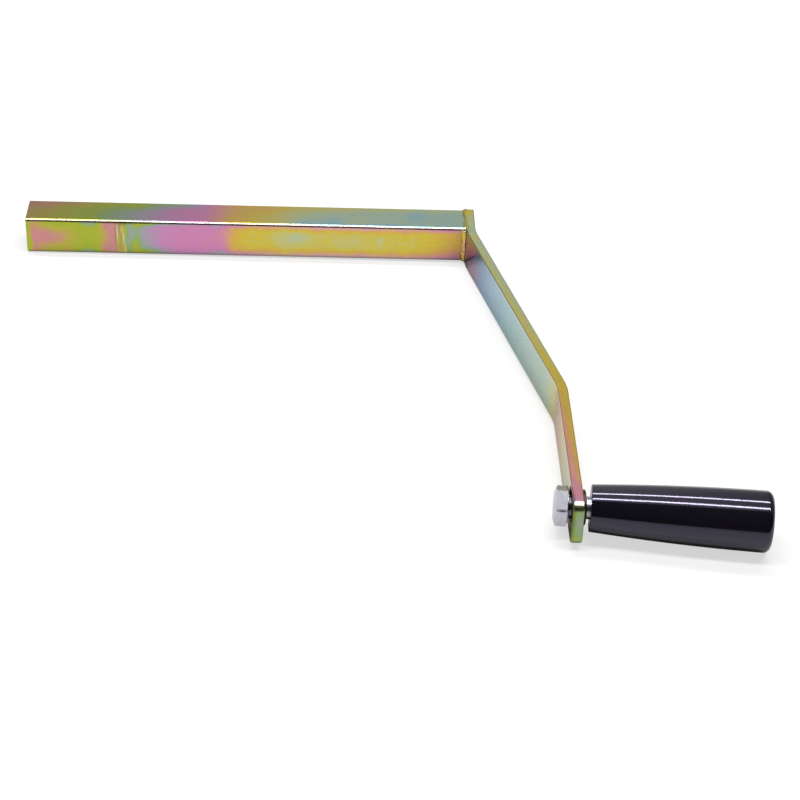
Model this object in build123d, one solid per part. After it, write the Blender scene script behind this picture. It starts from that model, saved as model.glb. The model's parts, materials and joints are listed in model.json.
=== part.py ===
from build123d import *
import math
import os

# Crank handle: a square drive tube, a bent flat-bar arm welded across its end, and a tapered grip
# that turns on a hexagon bolt through the free end of the arm.
#
# Frame, in millimetres: the origin is the centre of the tube's open drive end. X runs along the
# tube towards the arm, the arm reaches out along -Y, and Z is square to the flat in which the
# tube, the arm and the grip lie. In use the crank turns about the X axis.

# Drive tube: cold-formed square tube, open at the drive end
tube_side = 20.0
tube_wall = 2.0
tube_corner_radius = 1.7
tube_inner_radius = 0.5
tube_length = 228.0

# Crimp: a press mark across the front and rear walls, whose inner swell stops the driven shaft
crimp_centre = 49.0
crimp_width = 7.0
crimp_depth = 0.7

# Arm: flat bar on edge, with two gentle bends that set its free end off to one side.
# The bends are placed on the middle line of the bar's thickness.
bar_width = 21.0
bar_thickness = 5.0
bar_edge_radius = 0.6
bar_corner_radius = 3.7
bend_radius = 37.0
arm_tail = 9.5
first_bend_reach = 12.6
second_bend_reach = 150.7
arm_offset = 36.0
arm_reach = 241.0
arm_end_slant = 5.0

# Weld: one round-backed bead over the joint, which fills the corner in front of the tube, where the
# bar carries on past it
weld_half_width = 1.8
weld_height = 0.9
weld_lap = 0.5
fill_leg_on_tube = 2.6
fill_leg_on_bar = 2.0
fill_bulge = 0.3
fill_end_chamfer = 1.2
weld_overlap = 0.2

# Axle: a hexagon bolt that is left loose enough for the grip to turn, and so leans a few degrees
# out of square in its clearance hole, outwards from the tube
crank_radius = 227.5
axle_hole_radius = 5.5
axle_lean = 5.6
bolt_radius = 5.0
thread_radius = 4.9
thread_length = 26.0
bolt_length = 85.0
bolt_tip_chamfer = 0.9
head_across_flats = 16.0
head_height = 6.4
head_turn = 6.8
hex_face_radius = 7.6
hex_face_height = 0.4
hex_chamfer_angle = 30.0

# Washers
arm_washer_radius = 7.9
end_washer_radius = 10.0
washer_hole_radius = 5.4
washer_thickness = 1.6
washer_edge_chamfer = 0.25

# Self-locking nut: hexagon, a round collar, and a plastic ring held under the collar's lip
nut_across_flats = 16.0
nut_hex_height = 6.6
nut_collar_height = 3.4
nut_collar_radius = 7.2
nut_collar_chamfer = 1.0
nut_bore_radius = 4.95
insert_radius = 6.2
insert_thickness = 2.4
insert_lip = 0.6

# Grip: moulded in one piece, tapered, with a recess for the nut in its outer end
grip_start = 6.5
grip_length = 79.0
grip_small_radius = 10.45
grip_large_radius = 13.7
grip_crown = 0.8
grip_tapers = 3
grip_inner_rim = 0.4
grip_outer_rim = 3.0
grip_bore_radius = 5.07
recess_radius = 10.6
recess_depth = 17.0
recess_rim = 0.6
end_play = 0.15

# Worked out from the dimensions above. Stations are counted outwards along the axle, from the
# middle of the arm's hole.
tube_half = tube_side / 2
arm_inner_face = tube_length + arm_offset
arm_middle = arm_inner_face + bar_thickness / 2
arm_outer_face = arm_inner_face + bar_thickness
lean = math.radians(axle_lean)
head_station = -(bar_thickness / 2 + hex_face_radius * math.sin(lean)) / math.cos(lean)
grip_end = grip_start + grip_length
recess_floor = grip_end - recess_depth
end_washer_station = recess_floor + end_play
nut_station = end_washer_station + washer_thickness


def on_axle(shape, station=0.0):
    """Moves a shape built on local Z to a station on the leaning axle, local X pointing down."""
    frame = Plane(
        origin=(arm_middle, -crank_radius, 0),
        x_dir=(0, 0, -1),
        z_dir=(math.cos(lean), -math.sin(lean), 0),
    )
    return frame * Pos(0, 0, station) * shape


def turned(points):
    """A solid of revolution about local Z from (radius, height) corners."""
    return revolve(Plane.XZ * make_face(Polyline(*points, close=True)), Axis.Z)


def hexagon_body(across_flats, height):
    """A hexagon on local Z, with a round bearing face below and chamfered corners above."""
    hexagon = RegularPolygon(across_flats / 2, 6, major_radius=False)
    prism = Pos(0, 0, hex_face_height) * extrude(hexagon, height - hex_face_height)
    corner_radius = across_flats / math.sqrt(3)
    chamfer_height = (corner_radius - hex_face_radius) * math.tan(math.radians(hex_chamfer_angle))
    envelope = turned(
        [
            (0, 0),
            (corner_radius, 0),
            (corner_radius, height - chamfer_height),
            (hex_face_radius, height),
            (0, height),
        ]
    )
    bearing_face = Pos(0, 0, hex_face_height) * Cylinder(hex_face_radius, 2 * hex_face_height)
    return (prism & envelope) + bearing_face


def make_drive_tube():
    """Square tube, pressed in from both sides at the crimp with its wall thickness kept."""
    inner_side = tube_side - 2 * tube_wall
    outer_section = Plane.YZ * RectangleRounded(tube_side, tube_side, tube_corner_radius)
    inner_section = Plane.YZ * RectangleRounded(inner_side, inner_side, tube_inner_radius)
    outer = extrude(outer_section, tube_length)
    hollow = extrude(inner_section, tube_length)
    tool_radius = ((crimp_width / 2) ** 2 + crimp_depth**2) / (2 * crimp_depth)
    tool_reach = tube_half + tool_radius - crimp_depth
    for side in (-1, 1):
        tool_place = Pos(crimp_centre, side * tool_reach, 0)
        outer -= tool_place * Cylinder(tool_radius, 2 * tube_side)
        hollow -= tool_place * Cylinder(tool_radius + tube_wall, 2 * tube_side)
    return outer - hollow


def make_crank_arm():
    """Flat bar swept through its two bends, with one hole near its free end.

    The free end is cut a little out of square, longer below, and its corners are rounded.
    """
    middle = bar_thickness / 2
    path = FilletPolyline(
        (tube_length + middle, arm_tail),
        (tube_length + middle, -first_bend_reach),
        (arm_middle, -second_bend_reach),
        (arm_middle, -arm_reach - bar_width),
        radius=bend_radius,
    )
    section = RectangleRounded(bar_thickness, bar_width, bar_edge_radius)
    start = Plane(origin=path @ 0, x_dir=(1, 0, 0), z_dir=path % 0)
    bar = sweep(start * section, path=path)
    half_width = bar_width / 2
    lead = half_width * math.tan(math.radians(arm_end_slant))
    upper_end = (lead - arm_reach, half_width)
    lower_end = (-lead - arm_reach, -half_width)
    outline = make_face(
        Polyline(upper_end, lower_end, (2 * arm_tail, -half_width), (2 * arm_tail, half_width), close=True)
    )
    outline = fillet(outline.vertices().sort_by(Axis.X)[:2], bar_corner_radius)
    bar &= extrude(Plane.YZ * outline, 2 * arm_outer_face)
    drill = Rot(0, 90, 0) * Cylinder(axle_hole_radius, 4 * bar_thickness)
    return bar - Pos(arm_middle, -crank_radius, 0) * drill


def make_weld_bead(drive_tube, crank_arm):
    """Oval bead swept round the tube's end, with the corner in front of the tube filled out."""
    joint = Plane.YZ.offset(tube_length + weld_lap)
    path = (joint * RectangleRounded(tube_side, tube_side, tube_corner_radius)).face().outer_wire()
    back = [(-weld_half_width, 0), (0, weld_height), (weld_half_width, 0)]
    foot = [(-weld_half_width, 0), (-weld_half_width, -weld_overlap), (weld_half_width, -weld_overlap), back[2]]
    section = make_face([ThreePointArc(*back), Polyline(*foot)])
    start = Plane(origin=path @ 0, x_dir=(1, 0, 0), z_dir=path % 0)
    ring = sweep(start * section, path=path)

    root = (tube_length + weld_overlap, weld_overlap - tube_half)
    tube_toe = (tube_length - fill_leg_on_tube, weld_overlap - tube_half)
    bar_toe = (tube_length + weld_overlap, -tube_half - fill_leg_on_bar)
    bulge = (
        (tube_toe[0] + bar_toe[0]) / 2 - fill_bulge,
        (tube_toe[1] + bar_toe[1]) / 2 - fill_bulge,
    )
    profile = make_face([Polyline(tube_toe, root, bar_toe), ThreePointArc(bar_toe, bulge, tube_toe)])
    fill = extrude(profile, tube_half, both=True)
    fill = chamfer(fill.edges().filter_by(GeomType.CIRCLE), fill_end_chamfer)
    return ring + fill - crank_arm - drive_tube


def make_axle_bolt():
    """Hexagon bolt: head against the arm's inner face, plain shank through arm and grip."""
    head = Rot(0, 0, head_turn) * Rot(180, 0, 0) * hexagon_body(head_across_flats, head_height)
    plain_length = bolt_length - thread_length
    shank = turned(
        [
            (0, -head_height / 2),
            (bolt_radius, -head_height / 2),
            (bolt_radius, plain_length),
            (thread_radius, plain_length),
            (thread_radius, bolt_length - bolt_tip_chamfer),
            (thread_radius - bolt_tip_chamfer, bolt_length),
            (0, bolt_length),
        ]
    )
    return on_axle(head + shank, head_station)


def make_washer(outer_radius):
    ring = Cylinder(outer_radius, washer_thickness) - Cylinder(washer_hole_radius, 2 * washer_thickness)
    rims = circle_of(ring.edges().filter_by(GeomType.CIRCLE), outer_radius)
    return Pos(0, 0, washer_thickness / 2) * chamfer(rims, washer_edge_chamfer)


def make_arm_washer():
    """Lies flat on the arm's outer face, centred on the leaning bolt where the bolt passes it."""
    sideways = (bar_thickness + washer_thickness) / 2 * math.tan(lean)
    place = Pos(arm_outer_face, -crank_radius - sideways, 0) * Rot(0, 90, 0)
    return place * make_washer(arm_washer_radius)


def make_end_washer():
    """Sits on the floor of the grip's recess, under the nut."""
    return on_axle(make_washer(end_washer_radius), end_washer_station)


def make_lock_nut():
    """Self-locking nut: the collar is turned in over the plastic ring."""
    hexagon = hexagon_body(nut_across_flats, nut_hex_height)
    top = nut_hex_height + nut_collar_height
    collar = Pos(0, 0, top / 2) * Cylinder(nut_collar_radius, top)
    collar = chamfer(collar.edges().filter_by(GeomType.CIRCLE).sort_by(Axis.Z)[-1], nut_collar_chamfer)
    seat = top - insert_lip - insert_thickness
    bore = turned(
        [
            (0, 0),
            (nut_bore_radius, 0),
            (nut_bore_radius, seat),
            (insert_radius, seat),
            (insert_radius, top - insert_lip),
            (insert_radius - insert_lip, top),
            (0, top),
        ]
    )
    return on_axle(hexagon + collar - bore, nut_station)


def make_nut_insert():
    """The plastic ring that grips the thread."""
    seat = nut_hex_height + nut_collar_height - insert_lip - insert_thickness
    ring = Cylinder(insert_radius, insert_thickness) - Cylinder(nut_bore_radius, 2 * insert_thickness)
    return on_axle(Pos(0, 0, insert_thickness / 2) * ring, nut_station + seat)


def make_grip():
    """Grip in three tapers that make a slight crown, bored for the bolt and recessed for the nut."""
    side_points = []
    for taper in range(grip_tapers + 1):
        share = taper / grip_tapers
        straight_radius = grip_small_radius + (grip_large_radius - grip_small_radius) * share
        radius = straight_radius + 4 * grip_crown * share * (1 - share)
        side_points.append((radius, grip_start + grip_length * share))
    side = Polyline(*side_points)
    inside = Polyline(
        (grip_large_radius, grip_end),
        (recess_radius, grip_end),
        (recess_radius, recess_floor),
        (grip_bore_radius, recess_floor),
        (grip_bore_radius, grip_start),
        (grip_small_radius, grip_start),
    )
    body = revolve(Plane.XZ * make_face([side, inside]), Axis.Z)
    circles = body.edges().filter_by(GeomType.CIRCLE)
    body = fillet(circle_of(circles, grip_large_radius), grip_outer_rim)
    circles = body.edges().filter_by(GeomType.CIRCLE)
    body = chamfer(circle_of(circles, grip_small_radius), grip_inner_rim)
    circles = body.edges().filter_by(GeomType.CIRCLE)
    mouth = circle_of(circles, recess_radius).sort_by(Axis.Z)[-1]
    return on_axle(chamfer(mouth, recess_rim))


def circle_of(circles, radius):
    return circles.filter_by(lambda edge: abs(edge.radius - radius) < 0.01)


def main():
    os.makedirs("parts", exist_ok=True)
    drive_tube = make_drive_tube()
    crank_arm = make_crank_arm()
    nodes = {
        "drive_tube": drive_tube,
        "crank_arm": crank_arm,
        "weld_bead": make_weld_bead(drive_tube, crank_arm),
        "axle_bolt": make_axle_bolt(),
        "arm_washer": make_arm_washer(),
        "grip": make_grip(),
        "end_washer": make_end_washer(),
        "lock_nut": make_lock_nut(),
        "nut_insert": make_nut_insert(),
    }
    for name, shape in nodes.items():
        export_step(shape, f"parts/{name}.step")


main()
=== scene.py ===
import json
import math
import bmesh
import bpy
from mathutils import Matrix, Quaternion, Vector


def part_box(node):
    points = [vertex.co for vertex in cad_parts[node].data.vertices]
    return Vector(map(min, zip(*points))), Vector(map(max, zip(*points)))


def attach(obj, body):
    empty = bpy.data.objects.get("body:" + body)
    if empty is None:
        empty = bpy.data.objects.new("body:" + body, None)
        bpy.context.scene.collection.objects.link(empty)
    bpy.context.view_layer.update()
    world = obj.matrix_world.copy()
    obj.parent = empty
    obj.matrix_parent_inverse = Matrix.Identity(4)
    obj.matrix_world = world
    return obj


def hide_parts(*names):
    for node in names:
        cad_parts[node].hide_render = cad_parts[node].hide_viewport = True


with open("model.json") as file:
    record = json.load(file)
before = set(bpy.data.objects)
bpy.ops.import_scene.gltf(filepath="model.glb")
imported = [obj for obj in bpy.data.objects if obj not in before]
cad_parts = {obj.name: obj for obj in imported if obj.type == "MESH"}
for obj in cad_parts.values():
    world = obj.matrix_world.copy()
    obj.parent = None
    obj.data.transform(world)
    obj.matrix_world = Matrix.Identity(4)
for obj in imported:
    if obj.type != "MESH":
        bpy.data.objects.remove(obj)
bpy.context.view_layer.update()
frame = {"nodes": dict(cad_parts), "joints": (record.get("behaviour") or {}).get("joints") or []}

mm = 0.001
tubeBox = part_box("drive_tube")
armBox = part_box("crank_arm")
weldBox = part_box("weld_bead")
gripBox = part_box("grip")

# the grip, bolt, nut and end washer share the leaning axle, which starts in the middle of the arm's hole
axleStart = Vector(frame["joints"][0]["pos_m"])
axleDirection = Vector(frame["joints"][0]["axis"]).normalized()
down = Vector((0, 0, -1))
axlePlace = Matrix.Translation(axleStart) @ Matrix(
    (down, axleDirection.cross(down), axleDirection)).transposed().to_4x4()


# colours and nodes, used by every material

def linear(hexColour):
    # sRGB hex to the linear values that the shader wants
    def channel(text):
        value = int(text, 16) / 255
        return value / 12.92 if value <= 0.04045 else ((value + 0.055) / 1.055) ** 2.4
    return tuple(channel(hexColour[i:i + 2]) for i in (1, 3, 5)) + (1.0,)


def addNode(tree, kind, links={}, **settings):
    made = tree.nodes.new("ShaderNode" + kind)
    for name, value in settings.items():
        setattr(made, name, value)
    for name, value in links.items():
        if isinstance(value, bpy.types.NodeSocket):
            tree.links.new(value, made.inputs[name])
        else:
            made.inputs[name].default_value = value
    return made


def newMaterial(name):
    material = bpy.data.materials.new(name)
    material.use_nodes = True
    material.node_tree.nodes.clear()
    return material, material.node_tree


# studio: white floor and room, two long strip lights overhead, a dark room behind the camera

cameraSettings = {
    "target": Vector((191.26, -149.84, 0.0)) * mm,
    "distance": 957.9 * mm,
    "azimuth": math.radians(-2.668),
    "elevation": math.radians(35.668),
    "roll": math.radians(2.633),
    "lens": 92.295,
    "nearest": 0.01,
}


def makeCamera():
    s = cameraSettings
    flat = math.cos(s["elevation"])
    back = Vector((math.sin(s["azimuth"]) * flat, -math.cos(s["azimuth"]) * flat, math.sin(s["elevation"])))
    data = bpy.data.cameras.new("camera")
    data.lens = s["lens"]
    data.clip_start = s["nearest"]
    camera = bpy.data.objects.new("camera", data)
    bpy.context.scene.collection.objects.link(camera)
    camera.location = s["target"] + back * s["distance"]
    camera.rotation_mode = "QUATERNION"
    camera.rotation_quaternion = (-back).to_track_quat("-Z", "Y") @ Quaternion((0, 0, 1), s["roll"])
    bpy.context.scene.camera = camera


def seenDirectly(tree):
    # 1 for what the camera, a reflection or glass looks at, 0 for what only lights a surface
    path = addNode(tree, "LightPath")
    seen = path.outputs["Is Camera Ray"]
    for ray in ("Is Glossy Ray", "Is Transmission Ray"):
        seen = addNode(tree, "Math", {0: seen, 1: path.outputs[ray]}, operation="MAXIMUM").outputs[0]
    return path, seen


roomLook = {
    "diffuse": 0.15,
    "glossy": 0.70,
    "sides": 0.30,
    "darkSide": 0.04,
    "slope": 0.24,
    "horizon": (-0.05, 0.0),
    "wallWidth": (0.05, 0.32),
}


def makeWorld():
    s = roomLook
    world = bpy.data.worlds.new("studioRoom")
    bpy.context.scene.world = world
    world.use_nodes = True
    tree = world.node_tree
    tree.nodes.clear()
    path, seen = seenDirectly(tree)
    # the room is dark behind the camera, from just under the horizon to nearly overhead
    towards = addNode(tree, "TexCoord").outputs["Generated"]
    direction = addNode(tree, "SeparateXYZ", {0: towards})
    steep = addNode(tree, "Math", {0: direction.outputs["Z"], 1: s["slope"]}, operation="MULTIPLY")
    lean = addNode(tree, "Math", {0: direction.outputs["Y"], 1: steep.outputs[0]}, operation="ADD")
    room = addNode(tree, "MapRange", {"Value": lean.outputs[0], "From Min": s["horizon"][0],
                                     "From Max": s["horizon"][1], "To Min": s["darkSide"],
                                     "To Max": s["glossy"]})
    # and its back wall falls off to both sides
    aside = addNode(tree, "Math", {0: direction.outputs["X"]}, operation="ABSOLUTE")
    sides = addNode(tree, "MapRange", {"Value": aside.outputs[0], "From Min": s["wallWidth"][0],
                                      "From Max": s["wallWidth"][1], "To Min": 1.0, "To Max": s["sides"]})
    wall = addNode(tree, "Math", {0: room.outputs[0], 1: sides.outputs[0]}, operation="MULTIPLY")
    soft = addNode(tree, "Mix", {0: seen, 2: s["diffuse"], 3: wall.outputs[0]}, data_type="FLOAT")
    level = addNode(tree, "Mix", {0: path.outputs["Is Camera Ray"], 2: soft.outputs[0], 3: 1.0},
                    data_type="FLOAT")
    sky = addNode(tree, "Background", {"Color": (1, 1, 1, 1), "Strength": level.outputs[0]})
    addNode(tree, "OutputWorld", {"Surface": sky.outputs[0]})


floorLook = {
    "size": 8.0,
    "drop": 0.0001,
    "colour": "#a4a4a4",
    # what reflections find: darker towards the front, and close under the crank
    "glossy": 0.54,
    "frontEdge": (-0.8, -0.25),
    "contact": 0.03,
    "contactSamples": 8,
    "openness": (0.4, 0.78),
    # what the camera sees, by the distance from the crank
    "glow": 0.62,
    "farGlow": 1.0,
    "farEdge": (0.6, 1.6),
}


def makeFloor():
    # a flat floor through the three places where the crank rests
    s = floorLook
    rests = [
        Vector((tubeBox[0].x, tubeBox[1].y, tubeBox[0].z)),
        Vector((weldBox[0].x, weldBox[1].y, weldBox[0].z)),
        Vector((gripBox[1].x, (gripBox[0].y + gripBox[1].y) / 2, gripBox[0].z)),
    ]
    along = (rests[1] - rests[0]).normalized()
    up = along.cross(rests[2] - rests[0]).normalized()
    up = -up if up.z < 0 else up
    bpy.ops.object.select_all(action="DESELECT")
    bpy.ops.mesh.primitive_plane_add(size=s["size"])
    floor = bpy.context.object
    floor.name = "studioFloor"
    floor.rotation_mode = "QUATERNION"
    floor.rotation_quaternion = up.to_track_quat("Z", "Y")
    floor.location = rests[0] - up * s["drop"]
    # the camera sees pale paper, and reflections see it darken towards the front, away from the lamps
    material, tree = newMaterial("paleStudioPaper")
    path, seen = seenDirectly(tree)
    paper = addNode(tree, "BsdfDiffuse", {"Color": linear(s["colour"])})
    place = addNode(tree, "SeparateXYZ", {0: addNode(tree, "TexCoord").outputs["Object"]})
    near = addNode(tree, "MapRange", {"Value": place.outputs["Y"], "From Min": s["frontEdge"][0],
                                     "From Max": s["frontEdge"][1], "To Min": 0.0, "To Max": s["glossy"]})
    # reflections also find it dark close under the crank
    contact = addNode(tree, "AmbientOcclusion", {"Distance": s["contact"]}, samples=s["contactSamples"])
    clearFloor = addNode(tree, "MapRange", {"Value": contact.outputs["AO"], "From Min": s["openness"][0],
                                           "From Max": s["openness"][1]})
    near = addNode(tree, "Math", {0: near.outputs[0], 1: clearFloor.outputs[0]}, operation="MULTIPLY")
    lift = addNode(tree, "Math", {0: seen, 1: near.outputs[0]}, operation="MULTIPLY")
    # the lamps do not reach the far floor, so the camera is given the same white there
    away = addNode(tree, "VectorMath", {0: addNode(tree, "TexCoord").outputs["Object"]}, operation="LENGTH")
    far = addNode(tree, "MapRange", {"Value": away.outputs["Value"], "From Min": s["farEdge"][0],
                                    "From Max": s["farEdge"][1], "To Min": s["glow"],
                                    "To Max": s["farGlow"]})
    lift = addNode(tree, "Mix", {0: path.outputs["Is Camera Ray"], 2: lift.outputs[0], 3: far.outputs[0]},
                   data_type="FLOAT")
    glow = addNode(tree, "Emission", {"Color": (1, 1, 1, 1), "Strength": lift.outputs[0]})
    both = addNode(tree, "AddShader", {0: paper.outputs[0], 1: glow.outputs[0]})
    addNode(tree, "OutputMaterial", {"Surface": both.outputs[0]})
    floor.data.materials.append(material)


stripLook = {
    "height": 0.9,
    "length": 1.3,
    "width": 0.07,
    "power": 7.0,
    "places": {"backStrip": 0.16, "frontStrip": -0.30},
}


def makeLights():
    s = stripLook
    for name, across in s["places"].items():
        data = bpy.data.lights.new(name, "AREA")
        data.shape = "RECTANGLE"
        data.size = s["length"]
        data.size_y = s["width"]
        data.energy = s["power"]
        light = bpy.data.objects.new(name, data)
        bpy.context.scene.collection.objects.link(light)
        light.location = (cameraSettings["target"].x, across, s["height"])


makeCamera()
makeWorld()
makeFloor()
makeLights()
bpy.context.scene.view_settings.view_transform = "Standard"
print("studio ready")


# shaping by operators

def startPiece(name, primitive, stretch=(1, 1, 1), **place):
    if bpy.context.object and bpy.context.object.mode != "OBJECT":
        bpy.ops.object.mode_set(mode="OBJECT")
    bpy.ops.object.select_all(action="DESELECT")
    primitive(**place)
    piece = bpy.context.object
    piece.name = name
    piece.scale = stretch
    bpy.ops.object.transform_apply(location=True, rotation=True, scale=True)
    bpy.ops.object.mode_set(mode="EDIT")
    return piece


def pick(kind, test):
    # selects the vertices, edges or faces whose middle passes the test
    bpy.ops.mesh.select_mode(type=kind)
    bpy.ops.mesh.select_all(action="DESELECT")
    mesh = bpy.context.object.data
    shape = bmesh.from_edit_mesh(mesh)
    for element in {"VERT": shape.verts, "EDGE": shape.edges, "FACE": shape.faces}[kind]:
        corners = [element] if kind == "VERT" else element.verts
        middle = sum((corner.co for corner in corners), Vector()) / len(corners)
        if test(middle):
            element.select_set(True)
    shape.select_flush_mode()
    bmesh.update_edit_mesh(mesh)


def closeEdit(piece):
    bpy.ops.mesh.select_mode(type="VERT")
    bpy.ops.mesh.select_all(action="SELECT")
    bpy.ops.mesh.remove_doubles(threshold=0.002 * mm)
    bpy.ops.mesh.normals_make_consistent(inside=False)
    bpy.ops.object.mode_set(mode="OBJECT")
    return piece


def finishWith(piece, kind, **settings):
    bpy.ops.object.select_all(action="DESELECT")
    piece.select_set(True)
    bpy.context.view_layer.objects.active = piece
    modifier = piece.modifiers.new(kind, kind)
    for name, value in settings.items():
        setattr(modifier, name, value)
    bpy.ops.object.modifier_apply(modifier=modifier.name)


def smooth(piece, degrees=35):
    bpy.ops.object.select_all(action="DESELECT")
    piece.select_set(True)
    bpy.context.view_layer.objects.active = piece
    bpy.ops.object.shade_smooth_by_angle(angle=math.radians(degrees))
    finishWith(piece, "WEIGHTED_NORMAL", keep_sharp=True)


def setDown(piece, matrix):
    piece.matrix_world = matrix
    bpy.ops.object.select_all(action="DESELECT")
    piece.select_set(True)
    bpy.context.view_layer.objects.active = piece
    bpy.ops.object.transform_apply(location=True, rotation=True, scale=True)


turnSteps = 96  # round the circle, for what is turned and small
roundingSteps = 6


def lathe(name, corners, steps, closed=True):
    # corners are (radius, height, rounding) in mm; the outline is drawn edge by edge, rounded and spun
    piece = startPiece(name, bpy.ops.mesh.primitive_plane_add, size=mm)
    points = [Vector((radius, 0, height)) * mm for radius, height, rounding in corners]
    pick("VERT", lambda p: p.x > 0 or p.y > 0)
    bpy.ops.mesh.delete(type="VERT")
    bpy.ops.mesh.select_all(action="SELECT")
    bpy.ops.transform.translate(value=points[0] - Vector((-0.5 * mm, -0.5 * mm, 0)))
    for before, after in zip(points, points[1:]):
        bpy.ops.mesh.extrude_vertices_move(TRANSFORM_OT_translate={"value": after - before})
    if closed:
        ends = (points[0], points[-1])
        pick("VERT", lambda p: min((p - end).length for end in ends) < 0.001 * mm)
        bpy.ops.mesh.edge_face_add()
    for point, (radius, height, rounding) in zip(points, corners):
        if rounding:
            pick("VERT", lambda p: (p - point).length < 0.001 * mm)
            bpy.ops.mesh.bevel(offset=rounding * mm, segments=roundingSteps, affect="VERTICES")
    bpy.ops.mesh.select_mode(type="VERT")
    bpy.ops.mesh.select_all(action="SELECT")
    if steps:
        bpy.ops.mesh.spin(steps=steps, angle=math.tau, center=(0, 0, 0), axis=(0, 0, 1))
    return closeEdit(piece)


def finishPiece(piece, body, slot, material, *nodes):
    piece.data.materials.clear()
    piece.data.materials.append(material)
    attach(piece, body)
    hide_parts(*nodes)
    print(piece.name, "made,", len(piece.data.polygons), "faces")


# yellow zinc: steel plated with zinc and dipped in yellow chromate, whose clear film is so thin
# that its thickness shows as colour, running from blue over straw and pink to green as it thickens

filmColours = [
    (-0.62, "#b78ba8"), (-0.50, "#9f93b8"), (-0.36, "#7ba0c8"), (-0.20, "#8cb9be"),
    (-0.08, "#aec09f"), (0.00, "#c0c07c"), (0.10, "#d0ba34"),
    (0.20, "#d6a850"), (0.28, "#d69a7c"), (0.36, "#d28a9e"), (0.44, "#cd80b2"), (0.52, "#b98fb4"),
    (0.60, "#9ea3a2"), (0.68, "#8fac70"), (0.76, "#a2b422"), (0.84, "#b5ae38"), (0.92, "#c49a66"),
    (1.00, "#cc8884"), (1.10, "#c88c8c"),
]
filmRange = (-0.7, 1.2)
patchEdge = 1.7  # a patch fades out at this many times its size


def filmShare(thickness):
    return (thickness - filmRange[0]) / (filmRange[1] - filmRange[0])


def rampNode(tree, factor, stops):
    ramp = addNode(tree, "ValToRGB", {0: factor})
    elements = ramp.color_ramp.elements
    while len(elements) > 1:
        elements.remove(elements[-1])
    elements[0].position, elements[0].color = stops[0]
    for position, colour in stops[1:]:
        elements.new(position).color = colour
    return ramp


def filmProfile(tree, along, stops):
    # the film's thickness along the piece, from (millimetres, thickness) stops
    first, last = stops[0][0], stops[-1][0]
    share = addNode(tree, "MapRange", {"Value": along, "From Min": first, "From Max": last})
    greys = [((at - first) / (last - first), (filmShare(value),) * 3 + (1,)) for at, value in stops]
    grey = rampNode(tree, share.outputs[0], greys)
    return addNode(tree, "MapRange", {"Value": grey.outputs[0], "To Min": filmRange[0],
                                     "To Max": filmRange[1]}).outputs[0]


def addPatches(tree, place, thickness, patches):
    # adds soft patches, each an ellipsoid by its centre, size and strength
    for centre, size, amount in patches:
        local = addNode(tree, "Mapping", {"Vector": place, "Location": centre, "Scale": size},
                        vector_type="TEXTURE")
        away = addNode(tree, "VectorMath", {0: local.outputs[0]}, operation="LENGTH")
        fade = addNode(tree, "MapRange", {"Value": away.outputs["Value"], "From Max": patchEdge,
                                         "To Min": amount, "To Max": 0.0}, interpolation_type="SMOOTHSTEP")
        thickness = addNode(tree, "Math", {0: thickness, 1: fade.outputs[0]}, operation="ADD").outputs[0]
    return thickness


def combine(tree, operation, first, second):
    return addNode(tree, "Math", {0: first, 1: second}, operation=operation).outputs[0]


def millimetres(tree, wander, size):
    # the place on the piece in millimetres, pushed about a little so that no colour edge is straight
    metres = addNode(tree, "TexCoord").outputs["Object"]
    still = addNode(tree, "VectorMath", {0: metres, "Scale": 1 / mm}, operation="SCALE").outputs[0]
    noise = addNode(tree, "TexNoise", {"Vector": still, "Scale": 1 / size, "Detail": 2.0})
    centred = addNode(tree, "VectorMath", {0: noise.outputs["Color"], 1: (0.5, 0.5, 0.5)},
                      operation="SUBTRACT").outputs[0]
    push = addNode(tree, "VectorMath", {0: centred, "Scale": wander}, operation="SCALE").outputs[0]
    return still, addNode(tree, "VectorMath", {0: still, 1: push}, operation="ADD").outputs[0]


zincLook = {
    # mottling by its size in mm and its share in the film's thickness, as the dip leaves it
    "mottling": ((3.0, 0.10), (0.7, 0.05)),
    # the pale colour of painted highlights, shown as bare zinc
    "highlightColour": "#ece4dc",
    "grainScale": 4.0,
    "grainRange": (0.3, 0.7),
    "roughness": (0.24, 0.34),
    "grainStrength": 0.025,
    "grainDepth": 0.02,
    "coat": 0.6,
    "coatRoughness": 0.16,
}


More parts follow.
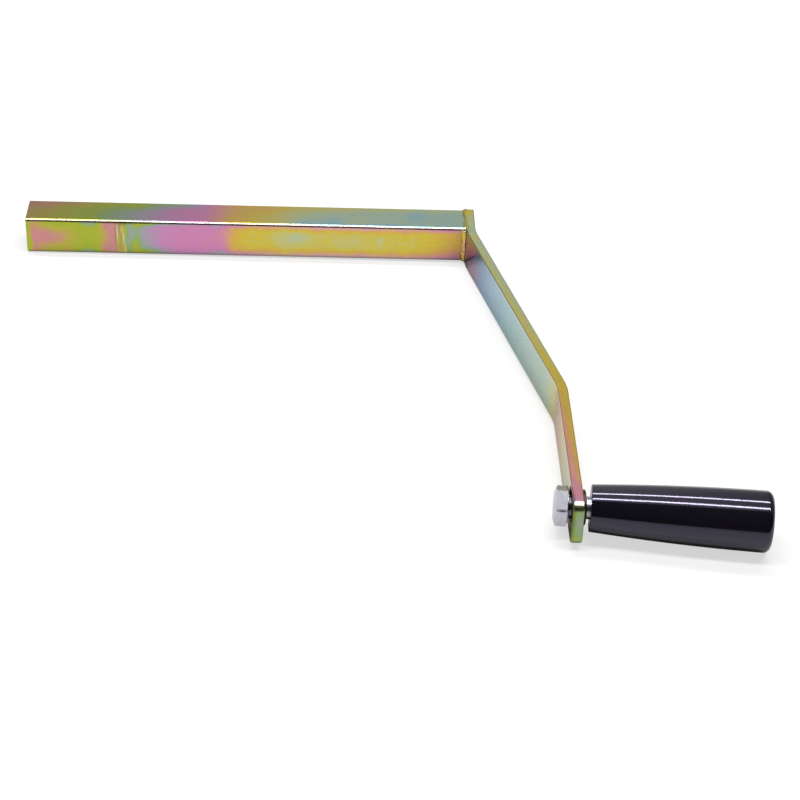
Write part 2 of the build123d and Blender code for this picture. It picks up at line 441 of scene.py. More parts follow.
def finishZinc(tree, still, thickness, grain, shade=1.0, highlightShare=0.0):
    s = zincLook
    for size, amount in s["mottling"]:
        mottle = addNode(tree, "TexNoise", {"Vector": still, "Scale": 1 / size, "Detail": 1.0})
        shift = addNode(tree, "MapRange", {"Value": mottle.outputs["Fac"], "To Min": -amount / 2,
                                          "To Max": amount / 2})
        thickness = combine(tree, "ADD", thickness, shift.outputs[0])
    share = addNode(tree, "MapRange", {"Value": thickness, "From Min": filmRange[0],
                                      "From Max": filmRange[1]})
    colour = rampNode(tree, share.outputs[0], [(filmShare(at), linear(text)) for at, text in filmColours])
    # pale zinc mixed in by the given share, shown as film rubbed thin to silver: painted highlights on
    # corners, ridges and the weld
    colour = addNode(tree, "Mix", {0: highlightShare, 6: colour.outputs[0], 7: linear(s["highlightColour"])}, data_type="RGBA")
    # the colour is scaled by the given factor, which carries painted shade and painted light
    colour = addNode(tree, "VectorMath", {0: colour.outputs[2], "Scale": shade}, operation="SCALE")
    # rolling and drawing leave fine lines along the steel under the plating
    lines = addNode(tree, "Mapping", {"Vector": still, "Scale": grain})
    drawn = addNode(tree, "TexNoise", {"Vector": lines.outputs[0], "Scale": s["grainScale"], "Detail": 3.0})
    rough = addNode(tree, "MapRange", {"Value": drawn.outputs["Fac"], "From Min": s["grainRange"][0],
                                      "From Max": s["grainRange"][1], "To Min": s["roughness"][0],
                                      "To Max": s["roughness"][1]})
    bump = addNode(tree, "Bump", {"Height": drawn.outputs["Fac"], "Strength": s["grainStrength"],
                                 "Distance": s["grainDepth"] * mm})
    shader = addNode(tree, "BsdfPrincipled", {"Base Color": colour.outputs[0], "Metallic": 1.0,
                                             "Roughness": rough.outputs[0], "Normal": bump.outputs[0],
                                             "Coat Weight": s["coat"],
                                             "Coat Roughness": s["coatRoughness"]})
    addNode(tree, "OutputMaterial", {"Surface": shader.outputs[0]})


tubeFilm = {
    "shade": 0.95,
    # painted shade on the upper face, deepest at its left end, and the span over which it fades
    "paintedShadeLeft": 0.86,
    "paintedShadeSpan": (50.0, 125.0),
    # painted highlight along the rounded corners, as pale rubbed zinc: its strength and its width across the
    # corner
    "paintedHighlight": 0.75,
    "highlightWidth": (0.2, 0.9),
    "turnWidth": 0.7,
    "grain": (0.03, 1.0, 1.0),
    "wander": 5.0,
    "wanderSize": 9.0,
    "front": [(0, 0.78), (2.2, 0.80), (3.6, 1.03), (6, 0.98), (14, 0.93), (22, 0.85), (27, 0.79), (34, 0.77),
              (38, 0.82), (41.5, 0.93), (43.5, 1.03), (45.4, 1.06), (46.4, 0.90), (50.4, 0.84),
              (51.8, 0.66), (54, 0.60), (57, 0.66), (62, 0.57), (70, 0.48), (80, 0.44), (97, 0.42),
              (103, 0.33), (108, 0.20), (116, 0.11), (132, 0.07), (160, 0.07), (205, 0.09),
              (218, 0.15), (228, 0.19)],
    "top": [(0, 0.90), (6, 0.86), (20, 0.81), (34, 0.76), (44, 0.70), (56, 0.62), (66, 0.54), (78, 0.46),
            (92, 0.42), (100, 0.33), (108, 0.20), (118, 0.10), (130, 0.04), (145, -0.05), (160, -0.10),
            (180, -0.11), (205, -0.11), (228, -0.13)],
    # (place, size, change in thickness), all in millimetres, for the side walls and for the upper face
    "frontPatches": [
        ((12, 0, 0), (11, 99, 2.6), 0.07), ((12, 0, 8), (12, 99, 3.4), -0.14),
        ((12, 0, -8), (9, 99, 3.4), -0.12), ((21, 0, -9), (5, 99, 2), 0.05),
        ((33, 0, 9), (5, 99, 2.2), -0.16), ((33, 0, -9), (7, 99, 2.2), -0.16),
        ((42, 0, 8), (3, 99, 3.5), 0.06), ((42, 0, -8), (3, 99, 3.5), 0.06),
        ((57, 0, -6), (4.5, 99, 4), 0.14), ((57, 0, 8), (4, 99, 3), 0.10),
        ((66, 0, -9), (9, 99, 3), 0.20), ((68, 0, 10), (12, 99, 2.2), 0.24),
        ((56, 0, -1), (2.5, 99, 4), 0.05), ((84, 0, 9), (7, 99, 2), 0.05),
        ((102, 0, -5), (5, 99, 5), 0.05), ((110, 0, 0), (8, 99, 5), -0.05),
        ((137, 0, 1), (10, 99, 4.5), -0.08), ((141, 0, 2), (4, 99, 2.4), -0.05),
        ((168, 0, 0), (9, 99, 3.5), -0.05), ((184, 0, 0), (2, 99, 3), -0.10),
        ((163, 0, -10.5), (62, 99, 4.4), 0.32), ((218, 0, -8), (14, 99, 5), 0.14),
        ((108, 0, -9.5), (14, 99, 3), 0.14), ((165, 0, 10.5), (64, 99, 3.6), 0.36),
        ((216, 0, 9), (12, 99, 2.4), 0.12), ((107, 0, 9), (9, 99, 2), 0.08),
    ],
    "topPatches": [
        ((10, 8, 0), (14, 6, 99), 0.10), ((28, 7, 0), (9, 4, 99), 0.08),
        ((60, 8, 0), (22, 5, 99), 0.16), ((80, 9, 0), (12, 4, 99), 0.12),
        ((46, -4, 0), (12, 4, 99), -0.05), ((102, -6, 0), (8, 4, 99), -0.06),
        ((124, 6, 0), (10, 5, 99), 0.08), ((150, 7, 0), (26, 3.4, 99), 0.08),
        ((143, -6, 0), (7, 3.4, 99), -0.08), ((157, -5, 0), (7, 4, 99), -0.09),
        ((172, -4, 0), (6, 4, 99), 0.04), ((203, 0, 0), (6, 5, 99), -0.07),
        ((180, -9, 0), (50, 1.6, 99), -0.14), ((190, 9, 0), (44, 4, 99), 0.10),
    ],
    # painted highlights along the crimp's ridges and along the side wall's lower and upper edges, by place,
    # size and strength
    "highlightStripes": [((47.0, -10, 3), (0.45, 1, 5), 0.55), ((49.5, -10, 5), (0.45, 1, 2.6), 0.40),
               ((50.2, -10, 0), (0.45, 1, 3.0), 0.65), ((50.9, -10, -5.5), (0.5, 1, 3.4), 0.45),
               ((155, -10, -9.4), (62, 1, 2.4), 0.34), ((160, -10, 8.5), (48, 1, 1.2), 0.16)],
    # painted shade in the crimp's creases and along the upper corner under its highlight, by place, size and
    # strength
    "creases": [((46.1, -10, 1), (0.5, 1, 7), 0.36), ((48.0, -10, 5), (0.35, 1, 3.6), 0.50),
                ((49.0, -10, 0), (0.5, 1, 4.0), 0.22), ((46.5, -10, 9), (12, 1, 0.9), 0.30),
                ((49.5, -10, 8.2), (2.2, 1, 1.2), 0.30), ((114, -10, 9.3), (90, 1, 0.35), 0.30)],
}


def makeTubeZinc():
    s = tubeFilm
    material, tree = newMaterial("yellowZincDrawnTube")
    still, place = millimetres(tree, s["wander"], s["wanderSize"])
    at = addNode(tree, "SeparateXYZ", {0: place}).outputs
    clean = addNode(tree, "SeparateXYZ", {0: still}).outputs
    front = addPatches(tree, place, filmProfile(tree, at["X"], s["front"]), s["frontPatches"])
    top = addPatches(tree, place, filmProfile(tree, at["X"], s["top"]), s["topPatches"])
    # upper and lower faces lie further out in z, the side walls in y
    height = addNode(tree, "Math", {0: clean["Z"]}, operation="ABSOLUTE").outputs[0]
    depth = addNode(tree, "Math", {0: clean["Y"]}, operation="ABSOLUTE").outputs[0]
    upward = addNode(tree, "MapRange", {"Value": combine(tree, "SUBTRACT", height, depth),
                                       "From Min": -s["turnWidth"], "From Max": s["turnWidth"]})
    thickness = addNode(tree, "Mix", {0: upward.outputs[0], 2: front, 3: top}, data_type="FLOAT").outputs[0]
    # painted shade: the upper face darker towards its left end
    paintedShadeLeft = addNode(tree, "MapRange", {"Value": at["X"], "From Min": s["paintedShadeSpan"][0],
                                        "From Max": s["paintedShadeSpan"][1], "To Min": s["paintedShadeLeft"],
                                        "To Max": s["shade"]})
    shade = addNode(tree, "Mix", {0: upward.outputs[0], 2: s["shade"], 3: paintedShadeLeft.outputs[0]},
                    data_type="FLOAT")
    # painted highlight along the rounded corners, as pale rubbed zinc
    corner = addNode(tree, "Math", {0: combine(tree, "SUBTRACT", height, depth)}, operation="ABSOLUTE")
    paintedHighlight = addNode(tree, "MapRange", {"Value": corner.outputs[0], "From Min": s["highlightWidth"][0],
                                       "From Max": s["highlightWidth"][1], "To Min": s["paintedHighlight"],
                                       "To Max": 0.0}).outputs[0]
    # painted highlights along the crimp's ridges and the side wall's edges
    paintedHighlight = addPatches(tree, still, paintedHighlight, s["highlightStripes"])
    # painted shade in the crimp's creases and along the upper corner
    paintedShade = addPatches(tree, still, 0.0, s["creases"])
    # the colour factor, with the painted shade of the upper face and of the creases
    clear = combine(tree, "MULTIPLY", shade.outputs[0], combine(tree, "SUBTRACT", 1.0, paintedShade))
    finishZinc(tree, still, thickness, s["grain"], clear, paintedHighlight)
    return material


armFilm = {
    "wander": 3.0,
    "wanderSize": 8.0,
    # painted shade on the wide faces and painted light on the narrow upper face
    "paintedShadeWide": 0.93,
    "paintedLightNarrow": 1.08,
    "narrowStart": (10.0, 10.45),
    "grain": (1.0, 0.03, 1.0),
    "wide": [(-9.5, -0.64), (22, -0.62), (28, -0.50), (34, -0.42), (48, -0.31), (80, -0.20),
             (110, -0.14), (135, -0.11), (142, -0.05), (148, 0.02), (156, 0.24), (172, 0.25), (196, 0.0),
             (232, 0.0), (236.5, 0.74), (241.5, 0.74)],
    "narrow": [(-9.5, 0.0), (2, -0.02), (20, -0.07), (40, -0.02), (60, -0.02), (100, 0.02),
               (130, 0.08), (150, 0.13), (165, 0.17), (190, 0.22), (215, 0.27), (228, 0.34), (236, 0.38),
               (237.2, 0.40), (238.4, 0.72), (241.5, 0.66)],
    "slope": [(-9.5, 0.03), (20, -0.02), (40, -0.05), (100, -0.06), (130, -0.04), (150, -0.02), (165, -0.09),
              (200, -0.11), (228, -0.06), (241.5, 0.0)],
    "patches": [
        ((232, -30, -6), (7, 5, 6), -0.12), ((231, -20, 8), (5, 4, 5), 0.12),
        ((266.9, -241, 1), (1.8, 3, 8), -0.12), ((230, 6, 10), (3, 3, 3), 0.10),
    ],
    # painted shade beside the weld and round the bolt's head
    "paintedShade": [((264, -236, 0), (1.2, 7, 16), 0.85), ((228, -12, 2), (3, 3.2, 9), 0.45)],
    # painted highlights, shown as rubbed zinc, along the inner upper edge and at the free end's upper corner,
    # by place across the bar
    # in half thicknesses, reach and height
    "paintedHighlight": [((-1, 110, 10.2), (0.16, 90, 0.6), 0.55), ((0, 238.6, 10.0), (2, 2.6, 1.6), 0.5)],
}
bendReaches = (12.6, 150.7)
armOffset = 36.0
armHalf = 2.5


def makeArmZinc():
    s = armFilm
    material, tree = newMaterial("yellowZincRolledBar")
    still, place = millimetres(tree, s["wander"], s["wanderSize"])
    at = addNode(tree, "SeparateXYZ", {0: place}).outputs
    clean = addNode(tree, "SeparateXYZ", {0: still}).outputs
    reach = combine(tree, "MULTIPLY", at["Y"], -1.0)
    cleanReach = combine(tree, "MULTIPLY", clean["Y"], -1.0)
    wide = filmProfile(tree, reach, s["wide"])
    narrow = filmProfile(tree, reach, s["narrow"])
    slope = filmProfile(tree, reach, s["slope"])
    middle = addNode(tree, "MapRange", {"Value": cleanReach, "From Min": bendReaches[0],
                                       "From Max": bendReaches[1],
                                       "To Min": tubeBox[1].x / mm + armHalf,
                                       "To Max": tubeBox[1].x / mm + armHalf + armOffset})
    across = combine(tree, "SUBTRACT", clean["X"], middle.outputs[0])
    across = combine(tree, "DIVIDE", across, armHalf)
    narrow = combine(tree, "ADD", narrow, combine(tree, "MULTIPLY", across, slope))
    height = addNode(tree, "Math", {0: clean["Z"]}, operation="ABSOLUTE").outputs[0]
    upward = addNode(tree, "MapRange", {"Value": height, "From Min": s["narrowStart"][0],
                                       "From Max": s["narrowStart"][1]})
    thickness = addNode(tree, "Mix", {0: upward.outputs[0], 2: wide, 3: narrow}, data_type="FLOAT").outputs[0]
    thickness = addPatches(tree, place, thickness, s["patches"])
    # painted shade beside the weld and round the bolt's head
    paintedShade = addPatches(tree, still, 0.0, s["paintedShade"])
    # painted light and shade: the narrow upper face lighter, the wide faces darker
    shade = addNode(tree, "Mix", {0: upward.outputs[0], 2: s["paintedShadeWide"], 3: s["paintedLightNarrow"]},
                    data_type="FLOAT")
    # the colour factor, with the painted light and painted shade
    clear = combine(tree, "MULTIPLY", shade.outputs[0], combine(tree, "SUBTRACT", 1.0, paintedShade))
    innerEdge = addNode(tree, "CombineXYZ", {0: across, 1: cleanReach, 2: clean["Z"]}).outputs[0]
    # painted highlights along the inner upper edge and at the free end's upper corner
    paintedHighlight = addPatches(tree, innerEdge, 0.0, s["paintedHighlight"])
    finishZinc(tree, still, thickness, s["grain"], clear, paintedHighlight)
    return material


weldFilm = {
    "wander": 2.0,
    "wanderSize": 2.5,
    "along": [(224, -0.04), (226, 0.0), (228.6, 0.04), (231, 0.0)],
    "patches": [((227, -11.5, -1), (1.6, 1.4, 9), 0.27), ((228, 6, 11), (3, 3, 3), 0.08)],
    # painted shade along the bead's toes, on the tube side and on the arm side
    "paintedShade": [((225.6, -10.4, 0), (0.5, 0.8, 9), 0.6), ((228.4, -12.4, 0), (0.5, 1.0, 9), 0.5)],
    # painted highlights: a glint on the lump at the upper corner and a line along the front bead's ridge
    "paintedHighlight": [((227.3, -10.8, 10.3), (1.2, 1.2, 1.0), 0.9), ((227.9, -11.9, 0), (0.5, 0.5, 8), 0.35)],
}


def makeWeldZinc():
    s = weldFilm
    material, tree = newMaterial("yellowZincWeldBead")
    still, place = millimetres(tree, s["wander"], s["wanderSize"])
    at = addNode(tree, "SeparateXYZ", {0: place}).outputs
    thickness = filmProfile(tree, at["X"], s["along"])
    thickness = addPatches(tree, place, thickness, s["patches"])
    # painted shade at the toes and painted highlights on the bead
    paintedShade = addPatches(tree, still, 0.0, s["paintedShade"])
    paintedHighlight = addPatches(tree, still, 0.0, s["paintedHighlight"])
    finishZinc(tree, still, thickness, (1.0, 1.0, 1.0), combine(tree, "SUBTRACT", 1.0, paintedShade), paintedHighlight)
    return material


clearZincLook = {"cloudScale": 0.35, "cloudRange": (0.35, 0.65), "fineScale": 3.0, "fineRange": (0.3, 0.7),
                 "rougher": (-0.05, 0.06), "bump": 0.04, "bumpDepth": 0.02}


def makeClearZinc(name, colour, roughness, paintedShade=()):
    # plated in the barrel: one even colour, a little clouded where parts tumbled against each other
    s = clearZincLook
    material, tree = newMaterial(name)
    metres = addNode(tree, "TexCoord").outputs["Object"]
    still = addNode(tree, "VectorMath", {0: metres, "Scale": 1 / mm}, operation="SCALE").outputs[0]
    cloud = addNode(tree, "TexNoise", {"Vector": still, "Scale": s["cloudScale"], "Detail": 3.0})
    shade = rampNode(tree, cloud.outputs["Fac"],
                     [(at, linear(text)) for at, text in zip(s["cloudRange"], colour)])
    # painted shade from the listed patches darkens the colour
    clear = combine(tree, "SUBTRACT", 1.0, addPatches(tree, still, 0.0, paintedShade)) if paintedShade else 1.0
    shade = addNode(tree, "VectorMath", {0: shade.outputs[0], "Scale": clear}, operation="SCALE")
    fine = addNode(tree, "TexNoise", {"Vector": still, "Scale": s["fineScale"], "Detail": 4.0})
    rough = addNode(tree, "MapRange", {"Value": fine.outputs["Fac"], "From Min": s["fineRange"][0],
                                      "From Max": s["fineRange"][1], "To Min": roughness + s["rougher"][0],
                                      "To Max": roughness + s["rougher"][1]})
    bump = addNode(tree, "Bump", {"Height": fine.outputs["Fac"], "Strength": s["bump"],
                                 "Distance": s["bumpDepth"] * mm})
    shader = addNode(tree, "BsdfPrincipled", {"Base Color": shade.outputs[0], "Metallic": 1.0,
                                             "Roughness": rough.outputs[0], "Normal": bump.outputs[0]})
    addNode(tree, "OutputMaterial", {"Surface": shader.outputs[0]})
    return material


phenolicLook = {"flour": ((0.4, "#0d0b11"), (0.7, "#19161f")), "flourScale": 3.0, "peelScale": 0.5,
                "peel": 0.25, "peelDepth": 0.05, "roughness": 0.09, "tint": "#e6deff", "index": 1.68}


def makePhenolic():
    # compression-moulded phenolic: black with a violet cast, polished, with a faint orange peel
    s = phenolicLook
    material, tree = newMaterial("mouldedBlackPhenolic")
    metres = addNode(tree, "TexCoord").outputs["Object"]
    still = addNode(tree, "VectorMath", {0: metres, "Scale": 1 / mm}, operation="SCALE").outputs[0]
    peel = addNode(tree, "TexNoise", {"Vector": still, "Scale": s["peelScale"], "Detail": 2.0})
    flour = addNode(tree, "TexNoise", {"Vector": still, "Scale": s["flourScale"], "Detail": 3.0})
    shade = rampNode(tree, flour.outputs["Fac"], [(at, linear(text)) for at, text in s["flour"]])
    bump = addNode(tree, "Bump", {"Height": peel.outputs["Fac"], "Strength": s["peel"],
                                 "Distance": s["peelDepth"] * mm})
    shader = addNode(tree, "BsdfPrincipled", {"Base Color": shade.outputs[0], "Roughness": s["roughness"],
                                             "Specular Tint": linear(s["tint"]), "IOR": s["index"],
                                             "Normal": bump.outputs[0]})
    addNode(tree, "OutputMaterial", {"Surface": shader.outputs[0]})
    return material


nylonLook = {"cloud": ((0.3, "#d9d5c4"), (0.7, "#ebe8dc")), "cloudScale": 400.0, "roughness": 0.45,
             "index": 1.53, "depth": 0.2, "reach": 0.5}


def makeNylon():
    # natural nylon: a milky off-white that light enters a little
    s = nylonLook
    material, tree = newMaterial("naturalNylonRing")
    metres = addNode(tree, "TexCoord").outputs["Object"]
    cloud = addNode(tree, "TexNoise", {"Vector": metres, "Scale": s["cloudScale"]})
    shade = rampNode(tree, cloud.outputs["Fac"], [(at, linear(text)) for at, text in s["cloud"]])
    shader = addNode(tree, "BsdfPrincipled", {"Base Color": shade.outputs[0], "Roughness": s["roughness"],
                                             "IOR": s["index"], "Subsurface Weight": s["depth"],
                                             "Subsurface Scale": s["reach"] * mm})
    addNode(tree, "OutputMaterial", {"Surface": shader.outputs[0]})
    return material


tubeZinc = makeTubeZinc()
armZinc = makeArmZinc()
weldZinc = makeWeldZinc()
boltFinish = {
    "colour": ("#c2c1cc", "#cecdd8"),
    "roughness": 0.30,
    # painted shade in the gap between the bolt's head and the arm, on the edge between two of the head's
    # flats, and lightly on the shank beyond the arm
    "paintedShade": [((263.4, -227.3, 0), (0.9, 20, 20), 0.92), ((259.9, -235.4, 3.64), (2.4, 1.6, 0.5), 0.95),
             ((273, -227.3, 0), (4, 9, 9), 0.25)],
}
boltZinc = makeClearZinc("clearZincBolt", **boltFinish)
# the washers' zinc is dark
washerFinish = {"colour": ("#352c2a", "#453c3a"), "roughness": 0.42}
washerZinc = makeClearZinc("darkZincWasher", **washerFinish)
phenolic = makePhenolic()
nylon = makeNylon()
print("materials ready")


# drive tube: cold-formed square tube, pressed in on both sides at the crimp

tubeLook = {
    "wall": 2.0,
    "corner": 1.7,
    "innerCorner": 0.5,
    "cornerSteps": 6,
    "crimpCentre": 49.0,
    "crimpWidth": 7.0,
    "crimpFade": 1.6,
    "crimpStep": 0.25,
    # by place along, lean, half-width and depth
    "creases": [(45.4, 0.0, 0.9, 0.30), (47.9, -0.02, 0.8, 0.55), (49.6, -0.14, 0.9, 0.40)],
    "rows": 16,
    "endEdge": 0.25,
}


def squareBar(name, side, corner, length):
    # a bar with rounded edges, cut into thin slices at the crimp and into rows up its sides
    s = tubeLook
    centre = (tubeBox[0] + tubeBox[1]) / 2
    bar = startPiece(name, bpy.ops.mesh.primitive_cube_add, size=1, location=centre,
                     stretch=(length, side * mm, side * mm))
    pick("EDGE", lambda p: abs(p.x - centre.x) < mm)
    bpy.ops.mesh.bevel(offset=corner * mm, segments=s["cornerSteps"], affect="EDGES")
    first = s["crimpCentre"] - s["crimpWidth"] / 2 - 1
    count = int((s["crimpWidth"] + 2) / s["crimpStep"])
    for i in range(count + 1):
        bpy.ops.mesh.select_all(action="SELECT")
        bpy.ops.mesh.bisect(plane_co=((first + i * s["crimpStep"]) * mm, 0, 0), plane_no=(1, 0, 0))
    flat = side / 2 - corner
    for i in range(1, s["rows"]):
        bpy.ops.mesh.select_all(action="SELECT")
        bpy.ops.mesh.bisect(plane_co=(0, 0, (-flat + 2 * flat * i / s["rows"]) * mm), plane_no=(0, 0, 1))
    return closeEdit(bar)


def makeDriveTube():
    s = tubeLook
    side = (tubeBox[1].y - tubeBox[0].y) / mm
    length = tubeBox[1].x - tubeBox[0].x
    tube = squareBar("driveTube", side, s["corner"], length)
    hollow = squareBar("hollow", side - 2 * s["wall"], s["innerCorner"], length + 2 * mm)
    finishWith(tube, "BOOLEAN", operation="DIFFERENCE", object=hollow)
    bpy.data.objects.remove(hollow)
    pressCrimp(tube)
    finishWith(tube, "BEVEL", width=s["endEdge"] * mm, segments=2, limit_method="ANGLE",
               angle_limit=math.radians(60), harden_normals=False)
    smooth(tube, 40)
    finishPiece(tube, "crank", "yellow_zinc_tube", tubeZinc, "drive_tube")


def pressCrimp(tube):
    # the press leaves a dent with a low ridge on each side and a slanting crease, and fades at the corners
    s = tubeLook
    flat = (tubeBox[1].y - tubeBox[0].y) / 2 / mm - s["corner"]
    for vertex in tube.data.vertices:
        x, y, z = vertex.co / mm
        if abs(x - s["crimpCentre"]) > s["crimpWidth"] or abs(y) < flat - s["wall"]:
            continue
        depth = sum(amount * math.exp(-((x - at - slant * z) / spread) ** 2)
                    for at, slant, spread, amount in s["creases"])
        fade = min(1, max(0, (flat - abs(z)) / s["crimpFade"]))
        vertex.co.y -= math.copysign(depth * fade * (2 - fade), y) * mm


makeDriveTube()


# arm: flat bar on edge, bent twice, corners of the free end rounded

armLook = {
    "bendRadius": 37.0,
    "bendSteps": 10,
    "reach": 241.0,
    "endSlant": 5.0,
    "endCorner": 3.7,
    "edge": 0.6,
    "hole": 5.5,
}


def makeCrankArm():
    s = armLook
    width = (armBox[1].z - armBox[0].z) / mm
    tail = armBox[1].y / mm
    end = s["reach"]
    thickness = 2 * armHalf
    middle = tubeBox[1].x / mm + armHalf
    turn = math.atan2(armOffset, bendReaches[1] - bendReaches[0])
    lead = s["bendRadius"] * math.tan(turn / 2)
    arm = startPiece("crankArm", bpy.ops.mesh.primitive_plane_add, size=1,
                     location=Vector((middle, tail, 0)) * mm, rotation=(math.pi / 2, 0, 0),
                     stretch=(thickness * mm, width * mm, 1))

    def onward(distance, angle):
        step = Vector((math.sin(angle), -math.cos(angle), 0)) * distance * mm
        bpy.ops.mesh.extrude_region_move(TRANSFORM_OT_translate={"value": step})

    def bend(centre, angle):
        bpy.ops.mesh.spin(steps=s["bendSteps"], angle=-angle, center=Vector(centre) * mm, axis=(0, 0, 1))

    bpy.ops.mesh.select_mode(type="FACE")
    bpy.ops.mesh.select_all(action="SELECT")
    onward(tail + bendReaches[0] - lead, 0)
    bend((middle + s["bendRadius"], -(bendReaches[0] - lead), 0), turn)
    onward((bendReaches[1] - bendReaches[0]) / math.cos(turn) - 2 * lead, turn)
    bend((middle + armOffset - s["bendRadius"], -(bendReaches[1] + lead), 0), -turn)
    onward(end - bendReaches[1] - lead, 0)
    # the free end is a little out of square, longer below, with its corners rounded
    slant = Vector((0, math.tan(math.radians(s["endSlant"])) * width / 2 * mm, 0))
    for side in (-1, 1):
        pick("VERT", lambda p: abs(p.y + end * mm) < 0.01 * mm and p.z * side > 0)
        bpy.ops.transform.translate(value=slant * side)
    pick("EDGE", lambda p: abs(p.y + end * mm) < 2 * mm and abs(p.z) > width * 0.49 * mm)
    bpy.ops.mesh.bevel(offset=s["endCorner"] * mm, segments=8, affect="EDGES")
    closeEdit(arm)
    drill = startPiece("drill", bpy.ops.mesh.primitive_cylinder_add, vertices=48, radius=s["hole"] * mm,
                       depth=4 * thickness * mm, rotation=(0, math.pi / 2, 0),
                       location=axleStart)
    bpy.ops.object.mode_set(mode="OBJECT")
    finishWith(arm, "BOOLEAN", operation="DIFFERENCE", object=drill)
    bpy.data.objects.remove(drill)
    finishWith(arm, "BEVEL", width=s["edge"] * mm, segments=4, limit_method="ANGLE",
               angle_limit=math.radians(40))
    smooth(arm, 40)
    finishPiece(arm, "crank", "yellow_zinc_bar", armZinc, "crank_arm")


makeCrankArm()


# grip, turned about the axle

gripLook = {
    "start": 6.5,
    "length": 79.0,
    "small": 10.45,
    "large": 13.66,
    "crown": 0.78,
    "bore": 5.07,
    "recess": 10.6,
    "recessDepth": 17.0,
    "innerRim": 0.4,
    "outerRim": 3.0,
    "sideSteps": 24,
    "turnSteps": 128,
}


def makeGrip():
    s = gripLook
    end = s["start"] + s["length"]
    floor = end - s["recessDepth"]
    side = []
    for i in range(1, s["sideSteps"] - 1):
        share = i / s["sideSteps"]
        taper = s["small"] + (s["large"] - s["small"]) * share
        side.append((taper + s["crown"] * 4 * share * (1 - share), s["start"] + s["length"] * share, 0))
    corners = [(s["bore"], s["start"], 0.4), (s["small"], s["start"], s["innerRim"])] + side + [
        (s["large"], end, s["outerRim"]), (s["recess"], end, 0.6), (s["recess"], floor, 0.4),
        (s["bore"], floor, 0)]
    grip = lathe("grip", corners, s["turnSteps"])
    setDown(grip, axlePlace)
    smooth(grip, 30)
    finishPiece(grip, "grip", "black_phenolic", phenolic, "grip")


makeGrip()


# weld: the bead of the solid model, closed over and roughened as the arc leaves it

weldLook = {"voxel": 0.14, "softening": 4, "lumpSize": 1.6, "lumpHeight": 0.55, "lumpLevel": 1.0}


def makeWeldBead():
    s = weldLook
    source = frame["nodes"]["weld_bead"]
    bpy.ops.object.select_all(action="DESELECT")
    bead = source.copy()
    bead.data = source.data.copy()
    bead.name = "weldBead"
    bpy.context.scene.collection.objects.link(bead)
    bead.select_set(True)
    bpy.context.view_layer.objects.active = bead
    bpy.ops.object.mode_set(mode="EDIT")
    closeEdit(bead)
    finishWith(bead, "REMESH", mode="VOXEL", voxel_size=s["voxel"] * mm, adaptivity=0)
    finishWith(bead, "SMOOTH", factor=0.5, iterations=s["softening"])
    lumps = bpy.data.textures.new("weldLumps", "CLOUDS")
    lumps.noise_scale = s["lumpSize"] * mm
    finishWith(bead, "DISPLACE", texture=lumps, texture_coords="LOCAL", strength=s["lumpHeight"] * mm,
               mid_level=s["lumpLevel"])
    smooth(bead, 60)
    finishPiece(bead, "crank", "yellow_zinc_weld", weldZinc, "weld_bead")


makeWeldBead()


# bolt, washers and nut, on the same axle

boltLook = {
    "acrossFlats": 16.0,
    "headHeight": 6.4,
    "headTurn": 6.8,
    "faceRadius": 7.6,
    "faceHeight": 0.4,
    # by radius, drop from the top and rounding
    "headCrown": [(9.3, 1.5, 0), (8.0, 0.8, 0.6), (6.4, 0.15, 0.8), (5.2, 0.0, 0.5), (0, 0, 0)],
    "nutCrown": [(9.3, 0.98, 0), (7.6, 0.0, 0), (0, 0, 0)],
    "radius": 5.0,
    "threadRadius": 4.9,
    "threadPitch": 1.5,
    "threadDepth": 0.8,
    "threadLength": 26.0,
    "length": 85.0,
    "headEdge": 0.42,
    "nutEdge": 0.22,
}
leanAngle = math.atan2(-axleDirection.y, axleDirection.x)
headStation = -(armHalf + boltLook["faceRadius"] * math.sin(leanAngle)) / math.cos(leanAngle)


def makeHexagon(name, height, turn, crown, edge, bore=0):
    # round bearing face below, and corners turned down above to the crown's (radius, drop, rounding) outline
    s = boltLook
    corner = s["acrossFlats"] / math.sqrt(3)
    prism = startPiece(name, bpy.ops.mesh.primitive_cylinder_add, vertices=6, radius=corner * mm,
                       depth=(height - s["faceHeight"]) * mm, rotation=(0, 0, math.radians(30 + turn)),
                       location=(0, 0, (height + s["faceHeight"]) / 2 * mm))
    bpy.ops.object.mode_set(mode="OBJECT")
    outline = [(max(radius, bore), height - drop, rounding) for radius, drop, rounding in crown]
    top = outline[0]
    envelope = lathe("envelope", [(bore, 0, 0), (corner + 1, 0, 0), (corner + 1, top[1], 0)] + outline,
                     turnSteps, closed=bore > 0)
    finishWith(prism, "BOOLEAN", operation="INTERSECT", object=envelope)
    bpy.data.objects.remove(envelope)
    finishWith(prism, "BEVEL", width=edge * mm, segments=3, limit_method="ANGLE",
               angle_limit=math.radians(35))
    inside = s["faceHeight"] + 0.2
    face = lathe("face", [(bore, 0, 0), (s["faceRadius"], 0, 0.1), (s["faceRadius"], inside, 0),
                          (bore, inside, 0)], 64, closed=bore > 0)
    return joinPieces(prism, face)


def joinPieces(piece, *others):
    bpy.ops.object.select_all(action="DESELECT")
    for other in (piece,) + others:
        other.select_set(True)
    bpy.context.view_layer.objects.active = piece
    bpy.ops.object.join()
    return piece


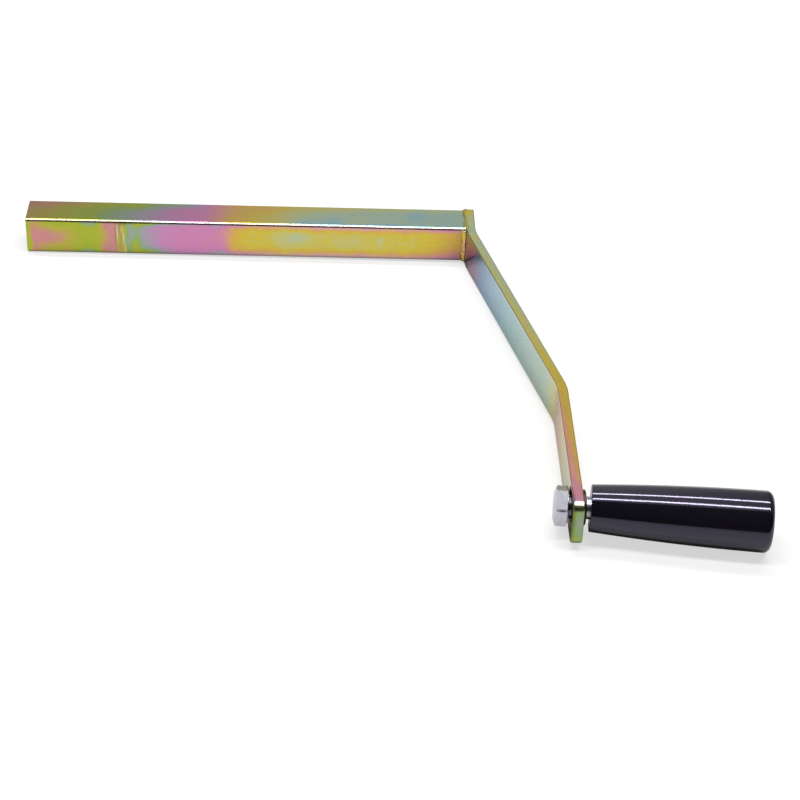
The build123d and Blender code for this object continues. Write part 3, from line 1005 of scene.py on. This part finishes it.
def makeThread(name, start, length):
    # one ridge drawn as a triangle and wound round the core
    s = boltLook
    pitch = s["threadPitch"]
    inner, outer = s["threadRadius"] - s["threadDepth"], s["threadRadius"]
    ridge = lathe(name, [(inner, start, 0), (outer, start + pitch / 2, 0), (inner, start + pitch, 0)], 0)
    finishWith(ridge, "SCREW", angle=math.tau, screw_offset=pitch * mm, iterations=int(length / pitch) - 1,
               steps=40, render_steps=40, use_merge_vertices=True, merge_threshold=0.01 * mm)
    bpy.ops.object.mode_set(mode="EDIT")
    bpy.ops.mesh.select_all(action="DESELECT")
    bpy.ops.mesh.select_mode(type="EDGE")
    bpy.ops.mesh.select_non_manifold(extend=False)
    bpy.ops.mesh.edge_face_add()
    return closeEdit(ridge)


def makeAxleBolt():
    s = boltLook
    head = makeHexagon("axleBolt", s["headHeight"], -s["headTurn"], s["headCrown"], s["headEdge"])
    setDown(head, Matrix.Rotation(math.pi, 4, "X"))
    plain = s["length"] - s["threadLength"]
    core = s["threadRadius"] - s["threadDepth"]
    shank = lathe("shank", [(0, -s["headHeight"] / 2, 0), (s["radius"], -s["headHeight"] / 2, 0),
                            (s["radius"], plain, 0.3), (core, plain + 0.9, 0.2),
                            (core, s["length"], 0.3), (0, s["length"], 0)], turnSteps, closed=False)
    thread = makeThread("thread", plain - 0.3, s["threadLength"] - 0.2)
    bolt = joinPieces(head, shank, thread)
    setDown(bolt, axlePlace @ Matrix.Translation((0, 0, headStation * mm)))
    smooth(bolt, 30)
    finishPiece(bolt, "crank", "clear_zinc", boltZinc, "axle_bolt")


washerLook = {"thickness": 1.6, "hole": 5.4, "edge": 0.3, "arm": 7.9, "end": 10.0}


def makeWasher(name, radius, matrix, node):
    # stamped: one rim rounded, the other sharp
    s = washerLook
    top = s["thickness"]
    washer = lathe(name, [(s["hole"], 0, 0.08), (radius, 0, 0.08), (radius, top, s["edge"]),
                          (s["hole"], top, 0.15)], turnSteps)
    setDown(washer, matrix)
    smooth(washer, 30)
    finishPiece(washer, "crank", "clear_zinc_washer", washerZinc, node)


nutLook = {"height": 6.6, "collar": 3.4, "collarRadius": 7.2, "collarEdge": 1.0, "bore": 4.95,
           "insertRadius": 6.2, "insertThickness": 2.4, "lip": 0.6, "endPlay": 0.15}
floorStation = gripLook["start"] + gripLook["length"] - gripLook["recessDepth"]
nutStation = floorStation + nutLook["endPlay"] + washerLook["thickness"]


def makeLockNut():
    s = nutLook
    top = s["height"] + s["collar"]
    seat = top - s["lip"] - s["insertThickness"]
    nut = makeHexagon("lockNut", s["height"], 0, boltLook["nutCrown"], boltLook["nutEdge"], s["bore"] + 1)
    collar = lathe("collar", [(s["bore"], 0, 0.3), (s["collarRadius"], 0, 0), (s["collarRadius"], top,
                              s["collarEdge"]), (s["insertRadius"] - s["lip"], top, 0.2),
                              (s["insertRadius"], top - s["lip"], 0), (s["insertRadius"], seat, 0),
                              (s["bore"], seat, 0.1)], turnSteps)
    joinPieces(nut, collar)
    setDown(nut, axlePlace @ Matrix.Translation((0, 0, nutStation * mm)))
    smooth(nut, 30)
    finishPiece(nut, "crank", "clear_zinc", boltZinc, "lock_nut")
    ring = lathe("nutInsert", [(s["bore"], seat, 0.3), (s["insertRadius"], seat, 0),
                               (s["insertRadius"], top - s["lip"], 0), (s["bore"], top - s["lip"], 0.4)],
                 turnSteps)
    setDown(ring, axlePlace @ Matrix.Translation((0, 0, nutStation * mm)))
    smooth(ring, 30)
    finishPiece(ring, "crank", "natural_nylon", nylon, "nut_insert")


makeAxleBolt()
sideways = (armHalf + washerLook["thickness"] / 2) * math.tan(leanAngle)
makeWasher("armWasher", washerLook["arm"],
           Matrix.Translation((armBox[1].x, axleStart.y - sideways * mm, 0))
           @ Matrix.Rotation(math.pi / 2, 4, "Y"), "arm_washer")
makeWasher("endWasher", washerLook["end"],
           axlePlace @ Matrix.Translation((0, 0, (floorStation + nutLook["endPlay"]) * mm)), "end_washer")
makeLockNut()
